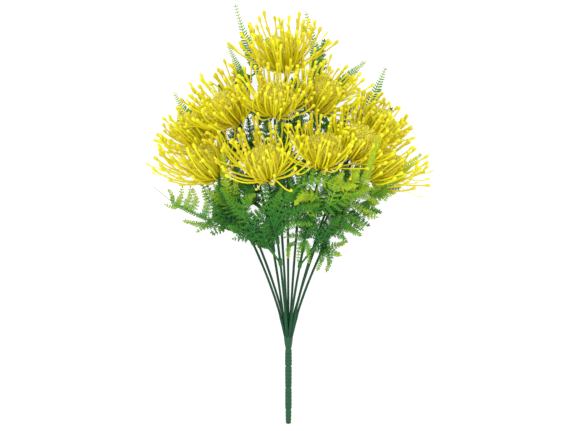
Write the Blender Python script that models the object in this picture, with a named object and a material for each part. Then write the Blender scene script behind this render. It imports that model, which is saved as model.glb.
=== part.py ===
"""An artificial pincushion protea bush lying on its back: eleven flower heads and twenty fern sprays on
wired stems that one moulded handle holds. Z is up, the handle points to -Y and the flowers to +Y."""

import math

import bmesh
import bpy
from mathutils import Matrix, Vector

MM = 0.001

# Handle: where its axis runs and its outline, as (distance from the tip, radius) pairs.
HANDLE_TIP = Vector((-1.6, -210.5, 3.1))
HANDLE_TOP = Vector((-1.6, -122.0, 16.0))
HANDLE_SIDES = 14
HANDLE_OUTLINE = (
    (0.0, 1.2),
    (0.6, 2.2),
    (2.0, 2.9),
    (14.2, 2.9),
    (15.3, 2.3),
    (16.4, 3.3),
    (36.2, 3.2),
    (37.3, 2.5),
    (38.4, 3.3),
    (58.2, 3.3),
    (59.3, 2.5),
    (60.4, 3.5),
    (75.6, 3.2),
    (76.7, 2.6),
    (77.8, 3.3),
    (85.0, 4.3),
    (89.4, 4.5),
)

# Stems: a wired rod, thinner where all of them run into the handle.
STEM_RADIUS = 1.25
STEM_ROOT_RADIUS = 0.95
STEM_SIDES = 6
STEM_STEPS = 9
STEM_RISE = 30.0
RING_RADIUS = 3.4
CORE_RADIUS = 1.3
GAP = 0.35

# Flower heads: base of the flower, the way it opens, and where its stem stands on the handle's end,
# as (circle radius, angle in degrees).
HEADS = {
    "top": ((-5, 144, 60), (-0.10, 0.90, 0.42), (CORE_RADIUS, 270)),
    "upper_left": ((-52, 93, 70), (-0.55, 0.64, 0.54), (RING_RADIUS, 205)),
    "upper_middle": ((-15, 100, 100), (0.04, 0.74, 0.67), (CORE_RADIUS, 150)),
    "upper_right": ((26, 106, 72), (0.42, 0.68, 0.60), (CORE_RADIUS, 30)),
    "left": ((-73, 38, 60), (-0.52, 0.68, 0.52), (RING_RADIUS, 165)),
    "front_left": ((-22, 36, 108), (-0.16, 0.78, 0.60), (RING_RADIUS, 115)),
    "front_right": ((31, 48, 104), (0.16, 0.80, 0.58), (RING_RADIUS, 72)),
    "right": ((78, 38, 66), (0.68, 0.54, 0.50), (RING_RADIUS, -10)),
    "inner_right": ((60, 58, 92), (0.44, 0.66, 0.61), (RING_RADIUS, 32)),
    "rear_right": ((76, 76, 38), (0.58, 0.72, 0.36), (RING_RADIUS, 300)),
    "rear_left": ((-83, 70, 36), (-0.64, 0.68, 0.35), (RING_RADIUS, 250)),
}
HEAD_SIDES = 10
HEAD_OUTLINE = (
    (0.0, 2.2),
    (1.5, 4.6),
    (5.0, 6.6),
    (12.0, 9.6),
    (20.0, 13.8),
    (26.5, 15.6),
    (30.0, 12.6),
    (32.5, 6.0),
)
HEAD_MIDDLE = 22.0

# Styles: a collar round the flower's base and one bent prong for each of its sides.
COLLAR_LOW = 1.5
COLLAR_HIGH = 5.0
COLLAR_WALL = 2.0
STYLE_LENGTH = 56.0
STYLE_LEAST = 12.0
STYLE_LEAN = (70.0, 12.0)
STYLE_SIZES = ((0.3, 1.2), (0.62, 0.9), (0.9, 1.7), (1.0, 0.7))
STYLE_ROOM = 2.6
STYLE_ARC_STEPS = 12

# Fern sprays: the stem, how far up it the sleeve sits, the frond's middle and tip, how many pairs of leaves
# it has and how far its longest leaves reach. Every frond faces up.
UP = Vector((0, 0, 1))
FERNS = {
    "top_left": ("top", 0.62, (-34, 150, 22), (-55, 210, 3), 10, 7),
    "top_right": ("upper_right", 0.66, (24, 140, 30), (16, 204, 3), 9, 8),
    "shoulder_left": ("upper_left", 0.62, (-46, 128, 30), (-61, 168, 14), 7, 8),
    "shoulder_right": ("upper_right", 0.50, (44, 118, 34), (74, 153, 14), 8, 8),
    "rear_right": ("rear_right", 0.62, (72, 98, 12), (95, 146, 2), 8, 8),
    "rear_left": ("rear_left", 0.62, (-92, 88, 12), (-116, 122, 2), 8, 12),
    "side_left": ("left", 0.52, (-92, 2, 50), (-137, 28, 34), 9, 17),
    "side_left_low": ("rear_left", 0.42, (-78, -12, 26), (-106, -8, 12), 6, 12),
    "side_left_high": ("left", 0.74, (-90, 8, 64), (-104, 20, 72), 6, 11),
    "front_far_left": ("left", 0.64, (-66, 4, 74), (-80, 32, 92), 8, 15),
    "front_left": ("front_left", 0.42, (-42, 2, 84), (-58, 34, 100), 8, 15),
    "front_middle": ("front_left", 0.54, (-16, 2, 96), (-8, 28, 112), 7, 14),
    "front_right": ("front_right", 0.46, (20, 0, 88), (22, 30, 100), 7, 13),
    "sweep_right": ("front_right", 0.38, (42, -14, 76), (71, -17, 62), 8, 13),
    "sweep_far_right": ("inner_right", 0.62, (58, 4, 84), (86, -3, 78), 7, 12),
    "collar_right": ("front_right", 0.66, (48, 34, 112), (75, 40, 118), 7, 10),
    "pale_right": ("right", 0.76, (77, 24, 112), (88, 72, 134), 7, 6),
    "edge_right": ("right", 0.60, (84, 18, 58), (106, 25, 52), 6, 9),
    "low_right": ("right", 0.46, (46, -30, 54), (38, -54, 58), 5, 10),
    "low_left": ("upper_left", 0.36, (-36, -38, 58), (-52, -24, 62), 5, 8),
}
SLEEVE_LENGTH = 8.0
SLEEVE_WALL = 1.0
SLEEVE_SIDES = 6
RIB_HALF = 0.9
RIB_BARE = 0.36
LEAF_HALF = 0.5
LEAF_SWEEP = 0.45


def clear_scene():
    for item in list(bpy.data.objects):
        bpy.data.objects.remove(item, do_unlink=True)


def material(name, colour, roughness):
    made = bpy.data.materials.new(name)
    made.use_nodes = True
    shader = made.node_tree.nodes["Principled BSDF"]
    shader.inputs["Base Color"].default_value = (*colour, 1.0)
    shader.inputs["Roughness"].default_value = roughness
    shader.inputs["Metallic"].default_value = 0.0
    made.diffuse_color = (*colour, 1.0)
    return made


def handle_plastic():
    return material("handle_plastic", (0.030, 0.130, 0.060), 0.45)


def stem_plastic():
    return material("stem_plastic", (0.035, 0.150, 0.060), 0.50)


def centre_plastic():
    return material("centre_plastic", (0.62, 0.50, 0.05), 0.60)


def style_plastic():
    return material("style_plastic", (0.86, 0.74, 0.02), 0.45)


def fern_plastic():
    return material("fern_plastic", (0.080, 0.300, 0.045), 0.50)


def finish(bm, name, surface, smooth=True):
    """Turns a mesh in millimetres into a named object in metres."""
    bmesh.ops.recalc_face_normals(bm, faces=bm.faces)
    bmesh.ops.scale(bm, vec=(MM, MM, MM), verts=bm.verts)
    mesh = bpy.data.meshes.new(name)
    for face in bm.faces:
        face.smooth = smooth
    bm.to_mesh(mesh)
    bm.free()
    mesh.materials.append(surface)
    made = bpy.data.objects.new(name, mesh)
    bpy.context.scene.collection.objects.link(made)
    return made


def turned(origin, direction):
    """The matrix that stands local Z along a direction at a point."""
    turn = Vector((0, 0, 1)).rotation_difference(direction)
    return Matrix.Translation(origin) @ turn.to_matrix().to_4x4()


def along(knots, share):
    """The point that share of the way along a Bezier curve."""
    while len(knots) > 1:
        knots = [a.lerp(b, share) for a, b in zip(knots, knots[1:])]
    return knots[0]


def heading(knots, share, step=0.01):
    """The curve's direction at that share."""
    low = max(0.0, share - step)
    high = min(1.0, share + step)
    return (along(knots, high) - along(knots, low)).normalized()


def spun(bm, outline, sides):
    """A full turn of a closed or axis-to-axis outline of (height, radius) pairs about Z."""
    verts = [bm.verts.new((radius, 0, height)) for height, radius in outline]
    edges = [bm.edges.new(pair) for pair in zip(verts, verts[1:])]
    if outline[0][1] > 0:
        edges.append(bm.edges.new((verts[-1], verts[0])))
    bmesh.ops.spin(
        bm,
        geom=verts + edges,
        cent=(0, 0, 0),
        axis=(0, 0, 1),
        angle=math.tau,
        steps=sides,
        use_merge=True,
    )
    bmesh.ops.remove_doubles(bm, verts=bm.verts, dist=0.0001)


def solid_turn(bm, outline, sides):
    """A solid round body: the outline with both ends run in to the axis."""
    closed = ((outline[0][0], 0.0), *outline, (outline[-1][0], 0.0))
    spun(bm, closed, sides)


def corners_of(face, side, up):
    """For each corner of a quad, its signs across and up, in the face's own order."""
    middle = face.calc_center_median()
    angles = []
    for vert in face.verts:
        offset = vert.co - middle
        angles.append(math.atan2(offset.dot(up), offset.dot(side)))
    turn = math.sin(angles[1] - angles[0])
    order = ((1, 1), (-1, 1), (-1, -1), (1, -1))
    if turn < 0:
        order = ((1, 1), (1, -1), (-1, -1), (-1, 1))
    first = max(range(4), key=lambda i: math.cos(angles[i] - math.pi / 4))
    return [order[(i - first) % 4] for i in range(4)]


def grow(bm, face, stations, facing):
    """Extrudes a quad through stations of (centre, direction, half width, half height). It returns the end
    face and each step's pair of side faces."""
    flanks = []
    signs = None
    for centre, ahead, half_width, half_height in stations:
        side = ahead.cross(facing).normalized()
        up = side.cross(ahead)
        signs = signs or corners_of(face, side, up)
        face = bmesh.ops.extrude_discrete_faces(bm, faces=[face])["faces"][0]
        for vert, (across, above) in zip(face.verts, signs):
            vert.co = centre + side * across * half_width + up * above * half_height
        walls = [f for edge in face.edges for f in edge.link_faces if f is not face]
        walls.sort(key=lambda f: (f.calc_center_median() - centre).dot(side))
        flanks.append((walls[0], walls[-1], side))
    return face, flanks


def stem_knots(name):
    """The Bezier knots of a head's stem, from the handle to just below the flower."""
    base, opening, (circle, angle) = HEADS[name]
    rise = (HANDLE_TOP - HANDLE_TIP).normalized()
    across = Vector((1, 0, 0))
    over = across.cross(rise)
    spin = math.radians(angle)
    root = HANDLE_TOP + across * math.cos(spin) * circle + over * math.sin(spin) * circle
    root += rise * (HANDLE_OUTLINE[-1][0] - (HANDLE_TOP - HANDLE_TIP).length + GAP)
    axis = Vector(opening).normalized()
    end = Vector(base) - axis * GAP
    reach = end - root
    start = (reach.normalized() * 0.4 + rise * 0.6) * reach.length * 0.3
    return [root, root + start, end - axis * STEM_RISE, end]


def handle():
    """The moulded handle: three grooves part it into four lengths, and it flares where the stems enter."""
    bm = bmesh.new()
    solid_turn(bm, HANDLE_OUTLINE, HANDLE_SIDES)
    stand = turned(HANDLE_TIP, HANDLE_TOP - HANDLE_TIP)
    bmesh.ops.transform(bm, matrix=stand, verts=bm.verts)
    return bm


def stem(name):
    """A bent rod from the handle to a flower, thinner at its root."""
    knots = stem_knots(name)
    bm = bmesh.new()
    bmesh.ops.create_circle(bm, cap_ends=True, segments=STEM_SIDES, radius=1.0)
    face = bm.faces[:][0]
    flat = [vert.co.copy() for vert in face.verts]
    for step in range(STEM_STEPS + 1):
        share = step / STEM_STEPS
        stand = turned(along(knots, share), heading(knots, share))
        radius = min(STEM_RADIUS, STEM_ROOT_RADIUS + share * 1.5)
        if step:
            face = bmesh.ops.extrude_discrete_faces(bm, faces=[face])["faces"][0]
        else:
            face.copy(verts=False, edges=False)
        for vert, place in zip(face.verts, flat):
            vert.co = stand @ (place * radius)
    return bm


def head_centre(name):
    """The goblet-shaped brush in the middle of a flower, as one solid."""
    base, opening, _ = HEADS[name]
    bm = bmesh.new()
    solid_turn(bm, HEAD_OUTLINE, HEAD_SIDES)
    bmesh.ops.transform(bm, matrix=turned(Vector(base), Vector(opening)), verts=bm.verts)
    return bm


def centre_radius(height):
    """The flower centre's radius at a height."""
    for (low, near), (high, far) in zip(HEAD_OUTLINE, HEAD_OUTLINE[1:]):
        if low <= height <= high:
            return near + (far - near) * (height - low) / (high - low)
    return 0.0


def head_point(name):
    base, opening, _ = HEADS[name]
    return Vector(base) + Vector(opening).normalized() * HEAD_MIDDLE


def room(name, place):
    """How much nearer a place is to its own head than to the next one."""
    own = (place - head_point(name)).length
    others = [(place - head_point(other)).length for other in HEADS if other != name]
    return min(others) - own


def style_path(start, out, axis, share):
    """A style's point: it leaves the collar leaning far out and bends up toward the flower's axis."""
    first, last = (math.radians(angle) for angle in STYLE_LEAN)
    place = start.copy()
    for step in range(STYLE_ARC_STEPS):
        lean = first + (last - first) * (step + 0.5) / STYLE_ARC_STEPS * share
        place += (out * math.sin(lean) + axis * math.cos(lean)) * STYLE_LENGTH * share / STYLE_ARC_STEPS
    return place


def style_reach(name, start, out, axis):
    """The share of the full length at which a style still keeps clear of the next head."""
    share = 1.0
    least = STYLE_LEAST / STYLE_LENGTH
    while share > least and room(name, style_path(start, out, axis, share)) < STYLE_ROOM:
        share -= 0.04
    return share


def head_styles(name):
    """The collar round a flower with its whorl of knobbed styles."""
    base, opening, _ = HEADS[name]
    bm = bmesh.new()
    low = centre_radius(COLLAR_LOW) + GAP
    high = centre_radius(COLLAR_HIGH) + GAP
    outline = (
        (COLLAR_LOW, low),
        (COLLAR_HIGH, high),
        (COLLAR_HIGH, high + COLLAR_WALL),
        (COLLAR_LOW, low + COLLAR_WALL),
    )
    spun(bm, outline, HEAD_SIDES)
    bmesh.ops.recalc_face_normals(bm, faces=bm.faces)
    bm.faces.ensure_lookup_table()
    outer = [f for f in bm.faces if f.normal.xy.dot(f.calc_center_median().xy.normalized()) > 0.5]
    bmesh.ops.transform(bm, matrix=turned(Vector(base), Vector(opening)), verts=bm.verts)
    axis = Vector(opening).normalized()
    for face in outer:
        start = face.calc_center_median()
        out = start - Vector(base)
        out = (out - axis * out.dot(axis)).normalized()
        reach = style_reach(name, start, out, axis)
        stations = []
        for part, half in STYLE_SIZES:
            place = style_path(start, out, axis, part * reach)
            before = style_path(start, out, axis, (part - 0.1) * reach)
            stations.append((place, (place - before).normalized(), half, half))
        grow(bm, face, stations, out + axis * 2)
    return bm


def sleeve(seat, rise):
    """The short tube that a spray is pushed onto its stem by."""
    bm = bmesh.new()
    bore = (STEM_RADIUS + GAP) / math.cos(math.pi / SLEEVE_SIDES)
    outside = bore + SLEEVE_WALL
    half = SLEEVE_LENGTH / 2
    outline = ((-half, bore), (half, bore), (half, outside), (0.0, outside), (-half, outside))
    spun(bm, outline, SLEEVE_SIDES)
    bmesh.ops.transform(bm, matrix=turned(seat, rise), verts=bm.verts)
    return bm


def sleeve_face(bm, seat, rise, middle):
    """The sleeve's upper outer face that looks most toward the frond."""
    away = middle - seat
    upper = [f for f in bm.faces if (f.calc_center_median() - seat).dot(rise) > SLEEVE_LENGTH * 0.15]
    return max(upper, key=lambda f: (f.calc_center_median() - seat).dot(away - rise * away.dot(rise)))


def rib_curve(face, seat, rise, middle, tip):
    """The Bezier knots of a frond's rib, which leaves the sleeve outward and passes near the middle point."""
    start = face.calc_center_median()
    out = start - seat
    out = (out - rise * out.dot(rise)).normalized()
    length = (middle - start).length + (tip - middle).length
    bend = middle + (middle - (start + tip) / 2) * 0.6
    return [start, start + (out * 0.6 + rise * 0.4) * length * 0.22, bend, tip]


def rib_stations(curve, steps):
    """Where the rib's rings stand: two on its bare foot, then one at each end of every leaf."""
    stations = []
    for share in (0.05, RIB_BARE / 2):
        stations.append((along(curve, share), heading(curve, share), RIB_HALF, RIB_HALF))
    for step in range(steps + 1):
        share = RIB_BARE + (1.0 - RIB_BARE) * step / steps
        half = RIB_HALF * (1.2 - 0.7 * step / steps)
        stations.append((along(curve, share), heading(curve, share), half, half))
    return stations


def fern(name):
    """A sleeve on its stem with one frond: a bent rib with a row of leaves along each side."""
    stem_name, height, middle, tip, pairs, reach = FERNS[name]
    middle = Vector(middle)
    tip = Vector(tip)
    knots = stem_knots(stem_name)
    seat = along(knots, height)
    rise = heading(knots, height)
    bm = sleeve(seat, rise)
    face = sleeve_face(bm, seat, rise, middle)
    curve = rib_curve(face, seat, rise, middle, tip)
    steps = pairs * 2 + 1
    _, flanks = grow(bm, face, rib_stations(curve, steps), UP)
    width = (tip - curve[0]).length * (1.0 - RIB_BARE) / steps * 0.3
    for pair in range(pairs):
        left, right, side = flanks[3 + pair * 2]
        share = (pair + 0.5) / pairs
        span = reach * (0.45 + 0.55 * math.sin(math.pi * (share * 0.8 + 0.2)))
        ahead = heading(curve, RIB_BARE + (1.0 - RIB_BARE) * share)
        for wall, way in ((left, -1), (right, 1)):
            outward = (side * way + ahead * LEAF_SWEEP).normalized()
            end = wall.calc_center_median() + outward * span
            grow(bm, wall, [(end, outward, width, LEAF_HALF)], UP)
    return bm


def centre_on_ground(objects):
    """Moves every mesh so that the whole stands on Z = 0 over the origin."""
    places = [vert.co for item in objects for vert in item.data.vertices]
    low = Vector([min(place[i] for place in places) for i in range(3)])
    high = Vector([max(place[i] for place in places) for i in range(3)])
    shift = Vector((-(low.x + high.x) / 2, -(low.y + high.y) / 2, -low.z))
    for item in objects:
        item.data.transform(Matrix.Translation(shift))


def build():
    clear_scene()
    stem_surface = stem_plastic()
    centre_surface = centre_plastic()
    style_surface = style_plastic()
    fern_surface = fern_plastic()
    objects = [finish(handle(), "handle", handle_plastic())]
    for name in HEADS:
        objects.append(finish(stem(name), f"stem_{name}", stem_surface))
        objects.append(finish(head_centre(name), f"flower_{name}_centre", centre_surface))
        objects.append(finish(head_styles(name), f"flower_{name}_styles", style_surface, False))
    for name in FERNS:
        objects.append(finish(fern(name), f"fern_{name}", fern_surface, False))
    centre_on_ground(objects)


build()
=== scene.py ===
"""An artificial pincushion protea bush lying on its back, in the CAD frame: one moulded handle, eleven wired
stems, eleven flower heads, each a bristle centre in a whorl of knobbed styles, and twenty fern sprays."""

import math
import random

import bmesh
import bpy
from mathutils import Matrix, Vector


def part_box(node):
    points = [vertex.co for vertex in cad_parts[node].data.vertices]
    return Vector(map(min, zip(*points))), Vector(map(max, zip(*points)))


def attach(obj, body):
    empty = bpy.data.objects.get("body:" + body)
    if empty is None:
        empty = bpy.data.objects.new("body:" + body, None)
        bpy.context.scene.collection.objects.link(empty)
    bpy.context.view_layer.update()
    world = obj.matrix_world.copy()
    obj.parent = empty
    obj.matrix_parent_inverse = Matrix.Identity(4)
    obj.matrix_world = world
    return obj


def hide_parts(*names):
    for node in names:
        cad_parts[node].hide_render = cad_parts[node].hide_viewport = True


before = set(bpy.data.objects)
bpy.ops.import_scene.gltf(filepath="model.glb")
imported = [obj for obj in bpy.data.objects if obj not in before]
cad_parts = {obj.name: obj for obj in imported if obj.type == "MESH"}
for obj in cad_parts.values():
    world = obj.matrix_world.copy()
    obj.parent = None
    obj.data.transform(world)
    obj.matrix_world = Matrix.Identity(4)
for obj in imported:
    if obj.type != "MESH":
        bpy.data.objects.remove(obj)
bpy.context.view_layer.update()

# ---------------------------------------------------------------------------------------------------------
# Handle: one dark green casting that holds every stem. Three ring grooves part it into four lengths, its tip
# is round, it flares where the stems enter, and a faint mould line runs down each side.
HANDLE_TIP = Vector((-1.6, -210.5, 3.1))
HANDLE_TOP = Vector((-1.6, -122.0, 16.0))
HANDLE_RISE = (HANDLE_TOP - HANDLE_TIP).normalized()
HANDLE_LENGTH = 89.4
HANDLE_GREEN = (0.014, 0.088, 0.036, 1)
# Each length as (start, end, radius at the start, radius at the end).
HANDLE_LENGTHS = (
    (0.0, 14.6, 2.6, 2.9),
    (15.6, 36.6, 3.2, 3.2),
    (37.6, 58.6, 3.2, 3.3),
    (59.6, 76.2, 3.45, 3.2),
)
HANDLE_NECK = 2.62
HANDLE_MOUTH = 4.5
HANDLE_SIDES = 40
SHOULDER = 1.1
RIPPLE = 1.8
RIPPLE_DEPTH = 0.24
SEAM_HALF_WIDTH = 0.35
SEAM_HEIGHT = 0.12
# The bush is laid out in millimetres of its own, with the handle toward -Y. It is moved to the frame by the
# middle of the CAD handle and by its lowest point, which are here in the bush's own millimetres.
HANDLE_MIDDLE = Vector((-1.6, -166.03, 0.52))
handle_low, handle_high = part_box("handle")
handle_centre = (handle_low + handle_high) / 2
frame_shift = Vector((handle_centre.x, handle_centre.y, handle_low.z)) - HANDLE_MIDDLE * 0.001
TO_FRAME = Matrix.Translation(frame_shift) @ Matrix.Scale(0.001, 4)
UP = Vector((0, 0, 1))


def finish(bm, name, materials, slot, *nodes):
    bmesh.ops.transform(bm, matrix=TO_FRAME, verts=bm.verts)
    bmesh.ops.recalc_face_normals(bm, faces=bm.faces)
    for face in bm.faces:
        face.smooth = True
    mesh = bpy.data.meshes.new(name)
    bm.to_mesh(mesh)
    bm.free()
    for material in materials:
        mesh.materials.append(material)
    piece = bpy.data.objects.new(name, mesh)
    bpy.context.scene.collection.objects.link(piece)
    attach(piece, "root")
    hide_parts(*nodes)
    return piece


def moulded_skin_group():
    """The skin that every casting here has: a colour that drifts from place to place, patchy gloss and a fine
    orange peel."""
    group = bpy.data.node_groups.new("moulded_skin", "ShaderNodeTree")
    group.interface.new_socket("Colour", in_out="INPUT", socket_type="NodeSocketColor")
    group.interface.new_socket("Drift", in_out="INPUT", socket_type="NodeSocketFloat")
    group.interface.new_socket("Patch Scale", in_out="INPUT", socket_type="NodeSocketFloat")
    group.interface.new_socket("Gloss Low", in_out="INPUT", socket_type="NodeSocketFloat")
    group.interface.new_socket("Gloss High", in_out="INPUT", socket_type="NodeSocketFloat")
    group.interface.new_socket("Colour", in_out="OUTPUT", socket_type="NodeSocketColor")
    group.interface.new_socket("Roughness", in_out="OUTPUT", socket_type="NodeSocketFloat")
    group.interface.new_socket("Peel", in_out="OUTPUT", socket_type="NodeSocketFloat")
    nodes = group.nodes
    links = group.links
    entry = nodes.new("NodeGroupInput")
    leave = nodes.new("NodeGroupOutput")
    place = nodes.new("ShaderNodeTexCoord")
    patches = nodes.new("ShaderNodeTexNoise")
    patches.inputs["Detail"].default_value = 3.0
    links.new(place.outputs["Object"], patches.inputs["Vector"])
    links.new(entry.outputs["Patch Scale"], patches.inputs["Scale"])
    shift = nodes.new("ShaderNodeMapRange")
    shift.inputs["From Min"].default_value = 0.3
    shift.inputs["From Max"].default_value = 0.7
    shift.inputs["To Min"].default_value = -0.5
    shift.inputs["To Max"].default_value = 0.5
    links.new(patches.outputs["Fac"], shift.inputs["Value"])
    amount = nodes.new("ShaderNodeMath")
    amount.operation = "MULTIPLY_ADD"
    amount.inputs[2].default_value = 1.0
    links.new(shift.outputs["Result"], amount.inputs[0])
    links.new(entry.outputs["Drift"], amount.inputs[1])
    tone = nodes.new("ShaderNodeHueSaturation")
    links.new(amount.outputs["Value"], tone.inputs["Value"])
    links.new(entry.outputs["Colour"], tone.inputs["Color"])
    links.new(tone.outputs["Color"], leave.inputs["Colour"])
    gloss = nodes.new("ShaderNodeMapRange")
    gloss.inputs["From Min"].default_value = 0.3
    gloss.inputs["From Max"].default_value = 0.7
    links.new(patches.outputs["Fac"], gloss.inputs["Value"])
    links.new(entry.outputs["Gloss Low"], gloss.inputs["To Min"])
    links.new(entry.outputs["Gloss High"], gloss.inputs["To Max"])
    links.new(gloss.outputs["Result"], leave.inputs["Roughness"])
    peel = nodes.new("ShaderNodeTexNoise")
    peel.inputs["Scale"].default_value = 900.0
    peel.inputs["Detail"].default_value = 2.0
    links.new(place.outputs["Object"], peel.inputs["Vector"])
    links.new(peel.outputs["Fac"], leave.inputs["Peel"])
    return group


moulded_skin = moulded_skin_group()


def plastic(name, drift, patch_scale, gloss_low, gloss_high, bump):
    """A Principled plastic with the moulded skin on it, and the skin node for its colour to be joined to."""
    made = bpy.data.materials.new(name)
    made.use_nodes = True
    nodes = made.node_tree.nodes
    links = made.node_tree.links
    shader = nodes["Principled BSDF"]
    skin = nodes.new("ShaderNodeGroup")
    skin.node_tree = moulded_skin
    skin.inputs["Drift"].default_value = drift
    skin.inputs["Patch Scale"].default_value = patch_scale
    skin.inputs["Gloss Low"].default_value = gloss_low
    skin.inputs["Gloss High"].default_value = gloss_high
    links.new(skin.outputs["Colour"], shader.inputs["Base Color"])
    links.new(skin.outputs["Roughness"], shader.inputs["Roughness"])
    relief = nodes.new("ShaderNodeBump")
    relief.inputs["Strength"].default_value = bump
    relief.inputs["Distance"].default_value = 0.0002
    links.new(skin.outputs["Peel"], relief.inputs["Height"])
    links.new(relief.outputs["Normal"], shader.inputs["Normal"])
    return made, skin


def standing(origin, direction):
    """The matrix that stands local Z along a direction at a point."""
    return Matrix.Translation(origin) @ UP.rotation_difference(direction).to_matrix().to_4x4()


def handle_outline():
    """The casting's half outline, as (height, radius): rippled lengths, rolled grooves, and the web above its
    mouth that fills in between the stems."""
    tip = [(0.0, 0.0), (0.05, 0.9), (0.35, 1.7), (0.95, 2.35)]
    flare = [(77.4, HANDLE_NECK + 0.3), (78.4, 3.15), (80.0, 3.5), (83.0, 3.9), (86.5, HANDLE_MOUTH - 0.15)]
    lip = [(88.4, HANDLE_MOUTH - 0.1), (89.3, HANDLE_MOUTH - 0.5), (HANDLE_LENGTH + 1.2, 3.5)]
    web = [(HANDLE_LENGTH + 6.0, 2.9), (HANDLE_LENGTH + 10.0, 1.7), (HANDLE_LENGTH + 11.0, 0.0)]
    lengths = []
    for start, end, first, last in HANDLE_LENGTHS:
        if start:
            lengths += [(start, HANDLE_NECK + 0.2), (start + 0.4, first - 0.35)]
        run = end - start - 2 * SHOULDER
        ripples = round(run / RIPPLE)
        for number in range(ripples + 1):
            share = number / ripples
            radius = first + (last - first) * share + RIPPLE_DEPTH * (-1) ** number
            lengths.append((start + SHOULDER + run * share, radius))
        lengths += [(end - 0.4, last - 0.35), (end, HANDLE_NECK + 0.2), (end + 0.5, HANDLE_NECK)]
    return tip + lengths + flare + lip + web


def full_spin(bm, outline, sides):
    """Turns an outline of (height, radius) pairs that starts and ends on the axis into a round body."""
    verts = [bm.verts.new((radius, 0, height)) for height, radius in outline]
    edges = [bm.edges.new(pair) for pair in zip(verts, verts[1:])]
    bmesh.ops.spin(
        bm,
        geom=verts + edges,
        cent=(0, 0, 0),
        axis=(0, 0, 1),
        angle=math.tau,
        steps=sides,
        use_merge=True,
    )
    bmesh.ops.remove_doubles(bm, verts=bm.verts, dist=0.0005)


handle_mesh = bmesh.new()
full_spin(handle_mesh, handle_outline(), HANDLE_SIDES)
for vert in handle_mesh.verts:
    # The mould line is a low ridge where the two halves of the mould met.
    radius = vert.co.xy.length
    if radius > HANDLE_NECK * 0.9 and abs(vert.co.y) < SEAM_HALF_WIDTH:
        vert.co.xy *= 1.0 + SEAM_HEIGHT / radius
bmesh.ops.transform(handle_mesh, matrix=standing(HANDLE_TIP, HANDLE_RISE), verts=handle_mesh.verts)
handle_plastic, handle_skin = plastic("handle_plastic", 0.35, 90.0, 0.36, 0.5, 0.5)
handle_skin.inputs["Colour"].default_value = HANDLE_GREEN
handle_plastic.node_tree.nodes["Principled BSDF"].inputs["Specular IOR Level"].default_value = 0.32
finish(handle_mesh, "handle_casting", [handle_plastic], "handle", "handle")


# ---------------------------------------------------------------------------------------------------------
# Stems: steel wire in a dark green plastic skin. Near the handle each has a short thicker sheath, which is
# the finger that the casting sends up round it, and it bends toward its flower at the top.
# They stand in the handle's mouth in two circles.
RING = 3.4
CORE = 1.3
# Each head: the base of the flower, the way it opens, where its stem stands in the handle's mouth, as a
# circle and an angle, and how long its styles are beside the usual.
HEADS = {
    "top": ((-5, 144, 60), (-0.10, 0.90, 0.42), (CORE, 270), 1.05),
    "upper_left": ((-52, 93, 70), (-0.55, 0.64, 0.54), (RING, 205), 1.0),
    "upper_middle": ((-15, 100, 100), (0.04, 0.74, 0.67), (CORE, 150), 0.95),
    "upper_right": ((26, 106, 72), (0.42, 0.68, 0.60), (CORE, 30), 0.9),
    "left": ((-73, 38, 60), (-0.52, 0.68, 0.52), (RING, 165), 1.22),
    "front_left": ((-22, 36, 108), (-0.16, 0.78, 0.60), (RING, 115), 1.0),
    "front_right": ((31, 48, 104), (0.16, 0.80, 0.58), (RING, 72), 0.95),
    "right": ((78, 38, 66), (0.68, 0.54, 0.50), (RING, -10), 1.05),
    "inner_right": ((60, 58, 92), (0.44, 0.66, 0.61), (RING, 32), 0.9),
    "rear_right": ((76, 76, 38), (0.58, 0.72, 0.36), (RING, 300), 0.85),
    "rear_left": ((-83, 70, 36), (-0.64, 0.68, 0.35), (RING, 250), 0.9),
}
STEM_GREEN = (0.012, 0.076, 0.030, 1)
STEM_RADIUS = 1.22
STEM_SIDES = 10
STEM_STEPS = 44
STEM_RISE = 30.0
STEM_ROOT = 0.35
STEM_SUNK = 1.3
STEM_WAVER = 0.03
SHEATH_RADIUS = 1.6
SHEATH_LENGTHS = (14.0, 34.0)
SHEATH_PINCH = 0.5
PINCH_LENGTH = 6.0
# The stem swells under its flower, from this share of it on and by this much.
SWELL_FROM = 0.97
SWELL = 0.9


def along(knots, share):
    """The point that share of the way along a Bezier curve."""
    while len(knots) > 1:
        knots = [a.lerp(b, share) for a, b in zip(knots, knots[1:])]
    return knots[0]


def heading(knots, share):
    """The curve's direction at that share."""
    return (along(knots, min(1.0, share + 0.01)) - along(knots, max(0.0, share - 0.01))).normalized()


def path_length(path):
    return sum((b - a).length for a, b in zip(path, path[1:]))


def stem_knots(name):
    """A stem's curve, from inside the handle's mouth to just below its flower."""
    base, opening, (circle, angle), _ = HEADS[name]
    across = Vector((1, 0, 0))
    over = across.cross(HANDLE_RISE)
    spin = math.radians(angle)
    root = HANDLE_TIP + HANDLE_RISE * (HANDLE_LENGTH + STEM_ROOT)
    root += (across * math.cos(spin) + over * math.sin(spin)) * circle
    axis = Vector(opening).normalized()
    end = Vector(base)
    reach = end - root
    start = (reach.normalized() * 0.4 + HANDLE_RISE * 0.6) * reach.length * 0.3
    return [root, root + start, end - axis * STEM_RISE, end]


def rod(bm, stations, sides):
    """A closed round rod through (centre, direction, radius) stations."""
    disc = bmesh.ops.create_circle(bm, cap_ends=True, segments=sides, radius=1.0)["verts"]
    face = disc[0].link_faces[0]
    flat = [vert.co.copy() for vert in face.verts]
    made = []
    for number, (centre, ahead, radius) in enumerate(stations):
        if number:
            face = bmesh.ops.extrude_discrete_faces(bm, faces=[face])["faces"][0]
        else:
            face.copy(verts=False, edges=False)
        turn = standing(centre, ahead)
        for vert, spot in zip(face.verts, flat):
            vert.co = turn @ (spot * radius)
        made.append(list(face.verts))
    return made


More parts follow.
